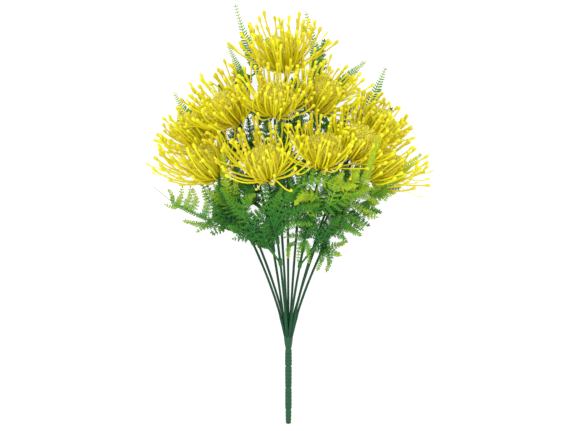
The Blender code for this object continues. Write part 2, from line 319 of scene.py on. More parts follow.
stem_plastic, stem_skin = plastic("stem_plastic", 0.4, 60.0, 0.42, 0.58, 0.6)
stem_skin.inputs["Colour"].default_value = STEM_GREEN
stem_plastic.node_tree.nodes["Principled BSDF"].inputs["Specular IOR Level"].default_value = 0.22
stem_dice = random.Random(11)
for name in HEADS:
    knots = stem_knots(name)
    knots[0] = knots[0] - HANDLE_RISE * STEM_SUNK
    length = path_length([along(knots, step / 20) for step in range(21)])
    sheath = stem_dice.uniform(*SHEATH_LENGTHS) / length
    stations = []
    for step in range(STEM_STEPS + 1):
        share = step / STEM_STEPS
        radius = STEM_RADIUS * (1.0 + STEM_WAVER * math.sin(share * 37.0 + len(name)))
        if share < sheath:
            radius = SHEATH_RADIUS - SHEATH_PINCH * math.exp(-share * length / PINCH_LENGTH)
        if share > SWELL_FROM:
            radius = STEM_RADIUS + SWELL * (share - SWELL_FROM) / (1.0 - SWELL_FROM)
        stations.append((along(knots, share), heading(knots, share), radius))
    stem_mesh = bmesh.new()
    rod(stem_mesh, stations, STEM_SIDES)
    finish(stem_mesh, f"{name}_stem", [stem_plastic], "stem", f"stem_{name}")


# ---------------------------------------------------------------------------------------------------------
# Flower centres: a flared brush of soft bristle. Hundreds of fine golden strands stand on a small core,
# spread upward like a shaving brush and end in a dotted dome, a little duller than the rest.
CORE_OUTLINE = (
    (0.0, 0.0),
    (0.0, 2.0),
    (1.2, 4.2),
    (5.0, 6.0),
    (12.0, 8.6),
    (20.0, 12.6),
    (26.0, 14.2),
    (29.5, 11.5),
    (31.5, 6.0),
    (32.0, 0.0),
)
CORE_SIDES = 28
# How high up the core its colour has run all the way to the tips'.
CORE_SHADED = 30.0
STRAND_SIDES = 4
STRAND_RINGS = ((0.0, 0.5), (0.3, 0.46), (0.6, 0.44), (0.9, 0.44), (0.96, 0.56), (1.0, 0.3))
STRANDS = 430
STRAND_STEPS = 8
DOME_TOP = 35.5
DOME_DROP = 7.5
DOME_RADIUS = 18.5
GOLDEN_ANGLE = math.pi * (3.0 - math.sqrt(5.0))
# A soft piece bends up from this height, and its middle comes no lower than the other.
SETTLE = 12.0
GROUND = 1.9


def pattern_rod(bm, rings, sides):
    """A straight closed rod along Z, one unit long, that copies are bent from."""
    stations = [(UP * height, UP, radius) for height, radius in rings]
    rings_made = rod(bm, stations, sides)
    verts = [vert for ring in rings_made for vert in ring]
    return verts, list({face for vert in verts for face in vert.link_faces})


def above_ground(spot):
    """A point of a soft piece, bent up where the surface the bush lies on is in its way."""
    if spot.z < SETTLE:
        spot.z = GROUND + (SETTLE - GROUND) * math.exp((spot.z - SETTLE) / (SETTLE - GROUND))
    return spot


def bent_copy(bm, pattern, path, mark, width=1.0):
    """Copies the pattern rod along a path of points, and writes mark(share) on its corners."""
    verts, faces = pattern
    made = bmesh.ops.duplicate(bm, geom=verts + faces)["geom"]
    made = [vert for vert in made if isinstance(vert, bmesh.types.BMVert)]
    layer = bm.verts.layers.float_color["mark"]
    last = len(path) - 1
    side = (path[1] - path[0]).orthogonal()
    frames = {}
    for share in sorted({round(vert.co.z, 4) for vert in made}):
        spot = min(share * last, last - 0.0001)
        step = int(spot)
        ahead = (path[step + 1] - path[step]).lerp(path[min(step + 2, last)] - path[max(step - 1, 0)], 0.5)
        ahead.normalize()
        side = (side - ahead * side.dot(ahead)).normalized()
        frames[share] = (path[step].lerp(path[step + 1], spot - step), side, side.cross(ahead), mark(share))
    for vert in made:
        centre, side, over, value = frames[round(vert.co.z, 4)]
        vert.co = centre + (side * vert.co.x + over * vert.co.y) * width
        vert[layer] = value


def drop_pattern(bm, pattern):
    bmesh.ops.delete(bm, geom=pattern[0], context="VERTS")


def graded(name, stops, drift, hue, gloss_low, gloss_high, bump):
    """A plastic whose colour runs through the stops with the piece's own mark: red is how far along each
    strand or frond it is, on the fronds shifted by their tint, which is partly painted shade, and green is a
    tone of its own."""
    made, skin = plastic(name, drift, 220.0, gloss_low, gloss_high, bump)
    nodes = made.node_tree.nodes
    links = made.node_tree.links
    mark = nodes.new("ShaderNodeAttribute")
    mark.attribute_name = "mark"
    parts = nodes.new("ShaderNodeSeparateColor")
    links.new(mark.outputs["Color"], parts.inputs["Color"])
    ramp = nodes.new("ShaderNodeValToRGB")
    while len(ramp.color_ramp.elements) < len(stops):
        ramp.color_ramp.elements.new(0.5)
    for element, (position, colour) in zip(ramp.color_ramp.elements, stops):
        element.position = position
        element.color = (*colour, 1)
    links.new(parts.outputs["Red"], ramp.inputs["Fac"])
    shade = nodes.new("ShaderNodeHueSaturation")
    for socket, low, high in (("Value", 0.86, 1.1), ("Hue", 0.5 - hue, 0.5 + hue)):
        swing = nodes.new("ShaderNodeMapRange")
        swing.inputs["To Min"].default_value = low
        swing.inputs["To Max"].default_value = high
        links.new(parts.outputs["Green"], swing.inputs["Value"])
        links.new(swing.outputs["Result"], shade.inputs[socket])
    links.new(ramp.outputs["Color"], shade.inputs["Color"])
    links.new(shade.outputs["Color"], skin.inputs["Colour"])
    return made


CENTRE_STOPS = (
    (0.0, (0.80, 0.69, 0.012)),
    (0.45, (0.86, 0.77, 0.014)),
    (0.85, (0.86, 0.78, 0.035)),
    (1.0, (0.86, 0.78, 0.110)),
)
centre_plastic = graded("centre_bristle", CENTRE_STOPS, 0.15, 0.006, 0.5, 0.7, 0.3)
for number, name in enumerate(HEADS):
    base, opening, _, _ = HEADS[name]
    turn = standing(Vector(base), Vector(opening).normalized())
    dice = random.Random(100 + number)
    centre_mesh = bmesh.new()
    mark_layer = centre_mesh.verts.layers.float_color.new("mark")
    full_spin(centre_mesh, CORE_OUTLINE, CORE_SIDES)
    for vert in centre_mesh.verts:
        vert[mark_layer] = (vert.co.z / CORE_SHADED, 0.3, 0, 1)
    bmesh.ops.transform(centre_mesh, matrix=turn, verts=centre_mesh.verts)
    strand = pattern_rod(centre_mesh, STRAND_RINGS, STRAND_SIDES)
    for count in range(STRANDS):
        spread = math.sqrt((count + 0.5) / STRANDS)
        around = count * GOLDEN_ANGLE + dice.uniform(-0.12, 0.12)
        out = Vector((math.cos(around), math.sin(around), 0))
        top = DOME_TOP - DOME_DROP * spread**2.5 + dice.uniform(-1.5, 2.0)
        wide = DOME_RADIUS * spread + dice.uniform(-0.8, 1.2)
        knots = [
            out * (6.5 * spread + 1.0) + UP * (3.0 + 12.0 * (1.0 - spread)),
            out * (wide * 0.45 + 2.5) + UP * (top * 0.55),
            out * (wide * 0.92) + UP * top * 0.8,
            out * wide + UP * top,
        ]
        path = [above_ground(turn @ along(knots, step / STRAND_STEPS)) for step in range(STRAND_STEPS + 1)]
        tone = dice.random()
        bent_copy(centre_mesh, strand, path, lambda share: (0.2 + 0.8 * share, tone, 0, 1))
    drop_pattern(centre_mesh, strand)
    finish(centre_mesh, f"{name}_bristle", [centre_plastic], "flower_centre", f"flower_{name}_centre")


# ---------------------------------------------------------------------------------------------------------
# Styles: the long bright filaments that give the flower its name. They come in moulded whorls pushed on
# under the bristle, leave it almost flat, sweep up round it and end in swollen knobs. A few hang loose.
# Each style's outline, as (share of its length, radius).
STYLE_RINGS = (
    (0.0, 1.05),
    (0.1, 0.95),
    (0.25, 0.86),
    (0.4, 0.82),
    (0.55, 0.80),
    (0.7, 0.78),
    (0.84, 0.78),
    (0.88, 0.95),
    (0.92, 1.4),
    (0.955, 1.7),
    (0.985, 1.5),
    (1.0, 0.6),
)
STYLE_SIDES = 6
STYLE_STEPS = 20
# Each whorl: how many styles, how high it sits, its radius there, lean at foot and tip, and length.
WHORLS = (
    (17, 2.0, 6.0, (78, 32), 54.0),
    (20, 3.4, 6.6, (60, 22), 55.0),
    (22, 5.0, 7.4, (42, 16), 48.0),
    (22, 6.5, 8.0, (31, 10), 31.0),
)
# Most styles end straight, and a few curl over by this many degrees.
CURLS = (0, 0, 0, 0, 0, 25, 70)
# The casting is stiff, so the styles that would hang below the head are swept up by as much as this.
LIFT = 20.0
# Where loose styles end, in the bush's millimetres, and how thick each is beside the rest.
LOOSE = {
    "top": (((-59, 171, 52), 0.5), ((38, 184, 64), 0.5), ((-56, 166, 48), 0.5), ((14, 195, 70), 0.6)),
    "upper_left": (((-101, 133, 78), 0.8), ((-90, 142, 74), 1.0), ((-104, 116, 66), 0.6)),
    "upper_right": (((71, 143, 70), 1.0), ((84, 132, 60), 0.9)),
    "left": (((-145, 52, 52), 0.6), ((-139, 43, 46), 0.5), ((-122, 38, 62), 0.5), ((-111, 31, 72), 0.9)),
    "front_left": (((2, 25, 124), 1.0), ((-34, 26, 132), 0.7), ((-76, 58, 118), 0.7), ((10, 62, 122), 0.8)),
    "right": (((134, 19, 50), 0.4), ((144, 45, 58), 0.5), ((140, 37, 62), 0.7), ((128, 33, 70), 0.5)),
    "front_right": (((7, 42, 122), 1.0), ((-12, 64, 112), 0.6), ((-6, 86, 108), 0.6)),
    "inner_right": (((60, 36, 128), 0.8),),
}
STYLE_STOPS = (
    (0.0, (0.74, 0.63, 0.005)),
    (0.3, (0.80, 0.70, 0.007)),
    (0.8, (0.81, 0.73, 0.011)),
    (1.0, (0.81, 0.75, 0.024)),
)
style_plastic = graded("style_yellow", STYLE_STOPS, 0.1, 0.012, 0.34, 0.5, 0.25)
for yellow in (centre_plastic, style_plastic):
    soft = yellow.node_tree.nodes["Principled BSDF"]
    soft.inputs["Specular IOR Level"].default_value = 0.25
    soft.inputs["Subsurface Weight"].default_value = 0.5
    soft.inputs["Subsurface Radius"].default_value = (1.0, 0.8, 0.12)
    soft.inputs["Subsurface Scale"].default_value = 0.002


def style_path(around, foot, height, lean, length, swing, curl, lift):
    """A style's points, in its head's own millimetres, from its whorl to its knob. Lift sweeps it in."""
    place = Vector((math.cos(around) * foot, math.sin(around) * foot, height))
    path = [place.copy()]
    for step in range(STYLE_STEPS):
        share = (step + 0.5) / STYLE_STEPS
        tilt = lean[0] + (lean[1] - lean[0]) * share**0.8 - curl * share**3 - lift * (0.35 + share)
        tilt = math.radians(tilt)
        turn = around + swing * share * share
        out = Vector((math.cos(turn), math.sin(turn), 0))
        place = place + (out * math.sin(tilt) + UP * math.cos(tilt)) * length / STYLE_STEPS
        path.append(place)
    return path


for number, name in enumerate(HEADS):
    base, opening, _, longer = HEADS[name]
    turn = standing(Vector(base), Vector(opening).normalized())
    dice = random.Random(300 + number)
    style_mesh = bmesh.new()
    style_mesh.verts.layers.float_color.new("mark")
    style = pattern_rod(style_mesh, STYLE_RINGS, STYLE_SIDES)
    for count, height, foot, lean, length in WHORLS:
        start = dice.uniform(0, math.tau)
        for position in range(count):
            around = start + math.tau * (position + dice.uniform(-0.35, 0.35)) / count
            bent = (lean[0] + dice.uniform(-8, 6), lean[1] + dice.gauss(0, 13))
            size = length * longer * dice.uniform(0.84, 1.08)
            curl = dice.choice(CURLS)
            hang = -(turn.to_3x3() @ Vector((math.cos(around), math.sin(around), 0))).y
            lift = LIFT * max(0.0, hang) ** 1.5
            path = style_path(around, foot, height, bent, size, dice.gauss(0, 0.3), curl, lift)
            path = [above_ground(turn @ spot) for spot in path]
            tone = dice.random()
            bent_copy(style_mesh, style, path, lambda share: (share, tone, 0, 1), dice.uniform(0.92, 1.18))
    for tip, width in LOOSE.get(name, ()):
        tip = Vector(tip)
        foot = turn @ Vector((0, 0, 3.0))
        springing = foot.lerp(tip, 0.35) + Vector(opening) * 10.0
        sagging = foot.lerp(tip, 0.75) - Vector((0, 9, 4))
        knots = [foot, springing, sagging, tip]
        path = [above_ground(along(knots, step / STYLE_STEPS)) for step in range(STYLE_STEPS + 1)]
        bent_copy(style_mesh, style, path, lambda share: (0.4 + 0.6 * share, 0.7, 0, 1), width)
    drop_pattern(style_mesh, style)
    finish(style_mesh, f"{name}_styles", [style_plastic], "styles", f"flower_{name}_styles")


# ---------------------------------------------------------------------------------------------------------
# Fern sprays: soft green castings pushed onto the stems by short sleeves. Each sleeve carries a few fronds,
# and each frond has a bent rib, leaves down both sides and two rows of tiny round leaflets on every leaf.
# For each spray: its stem, how high its sleeve sits, and its fronds. A frond is where it starts (None is the
# sleeve, a number is that share of the first frond's rib), the points it passes, how far its leaves reach
# to its left and right, its tint at foot and tip, and the share of its rib that is bare at its foot, or at
# its foot and its tip. The tint is partly the frond's own green and partly painted shade: fronds that lie
# deeper in the bush are given darker tints.
FERNS = {
    "top_left": ("top", 0.62, (
        (None, ((-22, 122, 34), (-34, 150, 24), (-45, 178, 12), (-55, 211, 5)),
            (5.4, 5.2), (0.3, 0.72), 0.42),
        (0.45, ((-50, 132, 26), (-52, 144, 22)), (8, 8), (0.1, 0.5), 0.2),
        (0.50, ((-20, 160, 28), (-28, 176, 20)), (8, 8), (0.2, 0.6), 0.1),
        (0.15, ((-30, 100, 40), (-44, 112, 34)), (11, 11), (0.0, 0.3), 0.1),
        (0.05, ((10, 92, 40), (10, 118, 34)), (10, 10), (0.0, 0.3), 0.1),
    )),
    "top_right": ("upper_right", 0.66, (
        (None, ((22, 110, 36), (27, 145, 28), (24, 172, 16), (16, 204, 6)), (5.2, 5.2), (0.3, 0.7), 0.4),
        (0.35, ((28, 140, 30), (32, 172, 24)), (9, 9), (0.2, 0.7), 0.1),
        (0.2, ((4, 120, 32), (2, 136, 26)), (11, 11), (0.0, 0.3), 0.1),
        (0.15, ((34, 100, 36), (44, 112, 30)), (10, 10), (0.0, 0.3), 0.1),
    )),
    "shoulder_left": ("upper_left", 0.62, (
        (None, ((-42, 96, 34), (-46, 128, 30), (-53, 148, 22), (-61, 169, 14)), (4.6, 5.2), (0.3, 0.75), 0.4),
        (0.3, ((-28, 110, 34), (-30, 134, 30)), (10, 10), (0.0, 0.4), 0.1),
        (0.25, ((-58, 110, 28), (-66, 124, 20)), (9, 9), (0.1, 0.5), 0.1),
        (0.1, ((-40, 66, 40), (-30, 84, 42)), (10, 10), (0.0, 0.2), 0.1),
        (0.1, ((-62, 62, 40), (-66, 78, 36)), (10, 10), (0.0, 0.3), 0.1),
        (0.1, ((-34, 54, 46), (-35, 74, 52), (-36, 90, 54)), (11, 11), (0.0, 0.3), 0.05),
        (0.1, ((-56, 62, 44), (-57, 80, 48), (-50, 94, 50)), (10, 10), (0.0, 0.25), 0.05),
        (0.1, ((-26, 60, 50), (-23, 80, 56), (-25, 98, 58)), (10, 10), (0.0, 0.25), 0.05),
        (0.05, ((-46, 26, 58), (-52, 40, 64), (-56, 54, 66)), (11, 11), (0.0, 0.3), 0.05),
        (0.05, ((-36, 12, 58), (-42, 26, 68), (-46, 40, 72)), (10, 10), (0.0, 0.3), 0.05),
    )),
    "shoulder_right": ("upper_right", 0.50, (
        (None, ((30, 80, 40), (44, 118, 34), (58, 138, 26), (75, 154, 16)), (5.2, 5.2), (0.3, 0.8), 0.5),
        (0.3, ((14, 74, 44), (12, 96, 44)), (11, 11), (0.0, 0.3), 0.1),
        (0.35, ((44, 70, 38), (56, 84, 34)), (10, 10), (0.0, 0.3), 0.1),
        (0.1, ((2, 52, 50), (-2, 78, 52)), (9, 9), (0.2, 0.5), 0.1),
        (0.1, ((-6, 56, 50), (-10, 78, 58), (-10, 98, 60)), (11, 11), (0.0, 0.3), 0.05),
        (0.05, ((26, 6, 56), (32, 20, 66), (38, 34, 72)), (11, 11), (0.0, 0.3), 0.05),
        (0.05, ((2, 14, 62), (-1, 32, 72), (-2, 48, 74)), (11, 11), (0.0, 0.3), 0.05),
        (0.1, ((52, 52, 50), (60, 66, 50)), (10, 10), (0.0, 0.3), 0.05),
        (0.3, ((48, 86, 40), (57, 106, 38)), (9, 9), (0.1, 0.4), 0.05),
    )),
    "rear_right": ("rear_right", 0.62, (
        (None, ((60, 72, 20), (72, 98, 12), (84, 122, 7), (96, 147, 4)), (5.2, 8), (0.25, 0.65), 0.35),
        (0.3, ((80, 92, 16), (96, 104, 10)), (9, 9), (0.1, 0.5), 0.1),
    )),
    "rear_left": ("rear_left", 0.62, (
        (None, ((-74, 60, 18), (-92, 88, 12), (-106, 104, 8), (-116, 122, 4)), (5.2, 6.5), (0.4, 0.85), 0.35),
        (0.35, ((-72, 94, 20), (-82, 108, 14)), (10, 10), (0.1, 0.5), 0.1),
        (0.45, ((-104, 86, 14), (-112, 96, 10)), (9, 9), (0.4, 0.8), 0.1),
    )),
    "side_left": ("left", 0.52, (
        (None, ((-60, -13, 42), (-84, -4, 48), (-104, 5, 46), (-118, 13, 42), (-138, 29, 34)),
            (3, 4), (0.1, 0.5), (0.15, 0.2)),
        (0.74, ((-110, 16, 50), (-108, 27, 52)), (4.5, 4.5), (0.6, 1.0), 0.1),
        (0.64, ((-101, 14, 52), (-100, 27, 54)), (5.5, 5.5), (0.5, 1.0), 0.05),
        (0.58, ((-94, 12, 54), (-97, 25, 58)), (5, 5), (0.5, 1.0), 0.05),
        (0.44, ((-82, 8, 54), (-87, 23, 58)), (6, 6), (0.3, 0.9), 0.05),
        (0.32, ((-72, 4, 54), (-75, 20, 58)), (7, 7), (0.1, 0.6), 0.05),
        (0.2, ((-62, 0, 52), (-64, 14, 56)), (8, 8), (0.0, 0.4), 0.05),
        (0.72, ((-117, 8, 44), (-124, 10, 42)), (3.5, 2.5), (0.5, 0.9), 0.1),
        (0.80, ((-118, 19, 46), (-121, 24, 46)), (3, 3), (0.5, 0.9), 0.1),
        (0.40, ((-80, -8, 42), (-92, -16, 40)), (4, 4), (0.2, 0.6), 0.2),
        (0.24, ((-68, -12, 44), (-78, -17, 42)), (5, 5), (0.1, 0.4), 0.2),
    )),
    "side_left_low": ("rear_left", 0.42, (
        (None, ((-56, -17, 28), (-78, -10, 30), (-92, -9, 28), (-106, -6, 24)), (6, 3.5), (0.2, 0.9), 0.45),
        (0.4, ((-66, -14, 34), (-76, -19, 34)), (4, 4), (0.1, 0.4), 0.1),
        (0.2, ((-52, -6, 34), (-66, 6, 36)), (9, 9), (0.0, 0.2), 0.1),
        (0.1, ((-44, -24, 30), (-56, -24, 30)), (5, 5), (0.1, 0.5), 0.1),
    )),
    "side_left_high": ("left", 0.74, (
        (None, ((-70, 6, 56), (-80, 14, 64), (-88, 30, 66)), (4, 9), (0.1, 0.4), 0.15),
        (0.1, ((-64, 22, 62), (-72, 38, 72)), (9, 9), (0.1, 0.4), 0.05),
        (0.2, ((-70, 18, 68), (-64, 30, 76)), (7, 7), (0.4, 0.9), 0.05),
    )),
    "front_far_left": ("left", 0.64, (
        (None, ((-58, 4, 66), (-66, 16, 80), (-76, 30, 90)), (8, 11), (0.2, 0.8), 0.1),
        (0.2, ((-70, 0, 66), (-76, 12, 72)), (9, 9), (0.0, 0.3), 0.05),
        (0.5, ((-56, 22, 84), (-54, 34, 90)), (8, 8), (0.4, 0.9), 0.05),
        (0.1, ((-66, -8, 60), (-76, -2, 62)), (8, 8), (0.0, 0.2), 0.05),
        (0.6, ((-72, 16, 84), (-82, 24, 88)), (6, 6), (0.3, 0.8), 0.05),
        (0.5, ((-63, 28, 96), (-66, 48, 108), (-67, 66, 112)), (6, 6), (0.7, 1.0), 0.1),
    )),
    "front_left": ("front_left", 0.42, (
        (None, ((-20, -34, 70), (-36, -18, 84), (-47, -2, 92), (-58, 11, 96), (-68, 26, 100)),
            (8.5, 12), (0.0, 0.5), 0.25),
        (0.58, ((-46, 12, 98), (-36, 20, 102)), (9, 9), (0.2, 0.6), 0.05),
        (0.4, ((-34, -4, 94), (-26, 8, 98)), (10, 10), (0.0, 0.3), 0.05),
        (0.35, ((-48, -16, 84), (-60, -12, 84)), (9, 9), (0.0, 0.3), 0.05),
        (0.2, ((-26, -18, 84), (-22, -4, 90)), (9, 9), (0.0, 0.2), 0.05),
        (0.2, ((-38, -18, 74), (-52, -9, 74)), (6, 7), (0.2, 0.6), 0.1),
    )),
    "front_middle": ("front_left", 0.54, (
        (None, ((-17, -10, 86), (-23, 12, 100), (-26, 36, 104)), (11, 12), (0.0, 0.3), 0.1),
        (0.25, ((-16, 8, 98), (-8, 26, 108)), (8, 8), (0.1, 0.4), 0.05),
        (0.25, ((-4, 2, 98), (12, 7, 102), (28, 10, 100)), (9, 10), (0.0, 0.4), 0.05),
        (0.12, ((-2, -10, 92), (20, -9, 94)), (8, 7), (0.1, 0.5), 0.05),
        (0.3, ((-6, 14, 104), (6, 27, 108)), (9, 9), (0.1, 0.4), 0.05),
        (0.3, ((-14, 12, 92), (-12, 30, 94), (-8, 46, 92)), (10, 10), (0.0, 0.3), 0.05),
        (0.05, ((-22, -22, 78), (-30, -18, 80)), (7, 7), (0.1, 0.5), 0.05),
    )),
    "front_right": ("front_right", 0.46, (
        (None, ((18, -16, 76), (26, 2, 92), (27, 22, 102)), (9, 9), (0.0, 0.3), 0.2),
        (0.4, ((10, -2, 90), (-2, 8, 94)), (10, 10), (0.0, 0.3), 0.05),
        (0.15, ((8, -20, 72), (-4, -22, 74)), (6, 6), (0.1, 0.5), 0.05),
        (0.1, ((10, -32, 62), (8, -44, 62)), (4, 4), (0.3, 0.7), 0.1),
        (0.15, ((18, -34, 64), (19, -46, 62)), (4, 4), (0.3, 0.7), 0.1),
        (0.1, ((0, -30, 64), (-2, -41, 62)), (3, 3), (0.3, 0.7), 0.3),
        (0.6, ((16, 16, 98), (10, 26, 100)), (8, 8), (0.6, 1.0), 0.05),
    )),
    "sweep_right": ("front_right", 0.38, (
        (None, ((24, -34, 64), (40, -18, 76), (56, -14, 74), (70, -20, 68)), (8, 6), (0.0, 0.6), 0.4),
        (0.4, ((40, -12, 84), (50, -2, 88)), (9, 9), (0.0, 0.3), 0.05),
        (0.5, ((50, -20, 72), (56, -26, 70)), (5, 5), (0.1, 0.4), 0.05),
        (0.35, ((26, -16, 78), (20, -6, 84)), (9, 9), (0.0, 0.3), 0.05),
    )),
    "sweep_far_right": ("inner_right", 0.62, (
        (None, ((46, 8, 76), (60, 0, 84), (73, -10, 82)), (7, 12), (0.0, 0.5), 0.05),
        (0.2, ((58, 12, 84), (84, 1, 80)), (7, 8), (0.1, 0.9), 0.05),
        (0.15, ((58, 22, 84), (72, 20, 84), (86, 13, 80)), (7, 8), (0.1, 0.9), 0.1),
        (0.3, ((52, -6, 80), (60, -12, 78)), (8, 8), (0.0, 0.4), 0.05),
        (0.15, ((54, 20, 84), (57, 36, 88), (54, 50, 86)), (9, 9), (0.0, 0.3), 0.05),
        (0.1, ((44, -4, 76), (50, -16, 74)), (8, 8), (0.0, 0.4), 0.05),
    )),
    "collar_right": ("front_right", 0.66, (
        (None, ((36, 8, 98), (52, 16, 108), (66, 22, 112), (80, 27, 112)), (6, 11), (0.1, 0.8), 0.05),
        (0.02, ((4, 22, 104), (16, 32, 114), (34, 33, 118), (52, 27, 118), (66, 29, 118)),
            (14, 8), (0.2, 1.0), 0.2),
        (0.05, ((28, 18, 104), (14, 20, 112), (6, 12, 112)), (8, 8), (0.5, 0.95), 0.15),
        (0.3, ((46, 28, 116), (52, 42, 120)), (9, 9), (0.5, 1.0), 0.05),
        (0.5, ((62, 32, 118), (68, 44, 122)), (8, 8), (0.6, 1.0), 0.05),
    )),
    "pale_right": ("right", 0.76, (
        (None, ((70, 22, 96), (76, 38, 122), (82, 58, 132), (88, 76, 136)), (6, 6), (0.7, 1.0), 0.1),
        (0.15, ((66, 34, 112), (62, 46, 120)), (7, 7), (0.6, 1.0), 0.05),
    )),
    "edge_right": ("right", 0.60, (
        (None, ((64, 4, 60), (82, 18, 74), (96, 26, 84), (112, 42, 94), (130, 60, 98)),
            (5, 5), (0.3, 1.0), 0.4),
        (0.45, ((94, 22, 78), (104, 22, 74)), (6, 9), (0.5, 1.0), 0.05),
        (0.4, ((84, 28, 84), (98, 34, 84)), (6, 8), (0.5, 1.0), 0.05),
        (0.35, ((82, 10, 72), (92, 18, 72)), (6, 8), (0.4, 0.9), 0.05),
        (0.2, ((64, -6, 62), (72, -14, 62)), (8, 8), (0.1, 0.6), 0.05),
        (0.25, ((76, 0, 66), (86, -2, 64)), (7, 7), (0.3, 0.9), 0.05),
    )),
    "low_right": ("right", 0.46, (
        (None, ((40, -32, 48), (48, -30, 56), (54, -28, 58)), (5, 5), (0.2, 0.8), 0.1),
        (0.1, ((44, -38, 52), (50, -40, 56)), (5, 5), (0.3, 0.9), 0.1),
        (0.1, ((40, -44, 52), (37, -55, 56)), (4.5, 4.5), (0.2, 0.6), 0.1),
        (0.05, ((32, -44, 50), (28, -54, 52)), (3.5, 3.5), (0.2, 0.7), 0.1),
        (0.1, ((34, -26, 54), (40, -18, 62)), (7, 7), (0.0, 0.3), 0.05),
        (0.05, ((26, -34, 52), (20, -36, 56)), (5, 5), (0.0, 0.4), 0.05),
    )),
    "low_left": ("upper_left", 0.36, (
        (None, ((-30, -27, 46), (-42, -18, 56), (-54, -12, 60)), (6, 6), (0.1, 0.6), 0.2),
        (0.1, ((-22, -26, 46), (-26, -14, 56)), (8, 8), (0.0, 0.2), 0.05),
        (0.2, ((-26, -20, 54), (-20, -14, 58)), (6, 6), (0.1, 0.5), 0.05),
    )),
}
# Fern greens from dark to yellow-green. The dark end is partly the fronds' own colour and partly painted
# shade for deep and under fronds.
FERN_STOPS = (
    (0.0, (0.007, 0.062, 0.016)),
    (0.12, (0.022, 0.150, 0.018)),
    (0.4, (0.070, 0.255, 0.014)),
    (0.65, (0.175, 0.380, 0.012)),
    (1.0, (0.430, 0.560, 0.016)),
)
fern_plastic = graded("fern_green", FERN_STOPS, 0.3, 0.012, 0.55, 0.75, 0.3)
fern_plastic.node_tree.nodes["Principled BSDF"].inputs["Specular IOR Level"].default_value = 0.3
LEAFLET_SPACING = 2.5
FULLNESS = 1.12
# How long a leaf has to be for one, two, three and four pairs of leaflets.
PAIRS_FROM = (2.6, 3.3, 4.8, 7.6)
SHORTEST_LEAF = 1.8
# Each sleeve's outline, as (share of its half length, radius).
SLEEVE_HALF = 4.0
SLEEVE_OUTLINE = ((-1.0, 1.6), (-0.9, 2.0), (0.0, 2.1), (0.85, 2.2), (1.0, 1.7))
SLEEVE_SIDES = 12
RIB_STEPS = 16
# A frond whose leaves are at least this long has a copy growing this far under it, painted darker as shade.
UNDER_FROM = 6.5
UNDER_DROP = 9.0
FERN_LOWEST = 0.9
# The long fronds at the back are of a finer casting, with a single narrow leaflet for each leaf.
FINE_SPRAYS = ("top_left", "top_right", "shoulder_left", "shoulder_right", "rear_right", "rear_left")
FINE_WIDTH = 0.54
FINE_STEP = 3.4
FINE_RIB = 0.85
FINE_SHORTEST_LEAF = 2.3


def pattern_leaf(bm, pairs):
    """A straight leaf along Y at full size: a thin rib, its pairs of round leaflets and one at its end. With
    no pairs it is one narrow leaflet."""
    layer = bm.verts.layers.float_color["mark"]
    length = pairs * LEAFLET_SPACING + 2.0
    before = set(bm.verts)
    if pairs:
        ahead = Vector((0, 1, 0))
        stations = [(Vector((0, length * t, 0.15)), ahead, 0.5 - 0.25 * t) for t in (0.0, 0.45, 0.9)]
        for ring in rod(bm, stations, 3):
            for vert in ring:
                vert[layer] = (0, 0, 1, 1)
    for number in range(pairs + 1):
        size = 3.1 - 0.9 * number / max(pairs, 1)
        # The last leaflet points straight ahead, and the others are in pairs to the left and right.
        for hand in (0,) if number == pairs else (-1, 1):
            verts = bmesh.ops.create_uvsphere(bm, u_segments=6, v_segments=3, radius=0.5)["verts"]
            turn = Matrix.Rotation(-hand * math.radians(62), 4, "Z")
            narrow, flare = (0.64, 0.56) if pairs else (0.40, 0.25)
            foot = Vector((0, (number + 0.3) * LEAFLET_SPACING if hand else length - 2.3, 0))
            for vert in verts:
                y = vert.co.y + 0.5
                spot = Vector((vert.co.x * (narrow + flare * y), y, vert.co.z * 0.28 + 0.12 * y * y))
                vert.co = foot + turn @ spot * size
                vert[layer] = (0, 0, 0, 1)
    verts = [vert for vert in bm.verts if vert not in before]
    return verts, list({face for vert in verts for face in vert.link_faces}), length


def leaf(bm, patterns, foot, ahead, facing, length, fine, tint_and_shade, dice):
    """One leaf of a frond: the pattern for its length, scaled to it and curved a little."""
    pairs = 0 if fine else sum(length > least for least in PAIRS_FROM)
    width = FINE_WIDTH if fine else 1.0
    verts, faces, full = patterns[pairs]
    scale = length / full
    made = bmesh.ops.duplicate(bm, geom=verts + faces)["geom"]
    layer = bm.verts.layers.float_color["mark"]
    side = ahead.cross(facing).normalized()
    over = side.cross(ahead)
    bend = dice.uniform(0.1, 0.7)
    sweep = dice.uniform(-0.35, 0.35)
    tone = dice.random()
    for vert in made:
        if not isinstance(vert, bmesh.types.BMVert):
            continue
        x, y, z = vert.co * scale
        part = y / length
        aside = x * width + sweep * y * part * 0.3
        raised = z - bend * y * part * 0.3
        vert.co = foot + ahead * y + side * aside + over * raised
        rib = vert[layer][2]
        shade = min(1.0, max(0.0, tint_and_shade + 0.12 * part + 0.2 * rib))
        vert[layer] = (shade, tone * (1 - rib) + 0.9 * rib, rib, 1)


def smooth_path(points, steps):
    """Points along the smooth curve that passes through all the given ones."""
    ends = [points[0] * 2 - points[1]] + points + [points[-1] * 2 - points[-2]]
    path = []
    for a, b, c, d in zip(ends, ends[1:], ends[2:], ends[3:]):
        for step in range(steps):
            t = step / steps
            square = (2 * a - 5 * b + 4 * c - d) * t**2
            cube = (3 * (b - c) + d - a) * t**3
            path.append(0.5 * (2 * b + (c - a) * t + square + cube))
    return path + [points[-1]]


def on_path(path, share):
    """The point that share of the way along a path of points."""
    spot = min(max(share, 0.0) * (len(path) - 1), len(path) - 1.0001)
    step = int(spot)
    return path[step].lerp(path[step + 1], spot - step)


def path_heading(path, share):
    return (on_path(path, share + 0.03) - on_path(path, share - 0.03)).normalized()


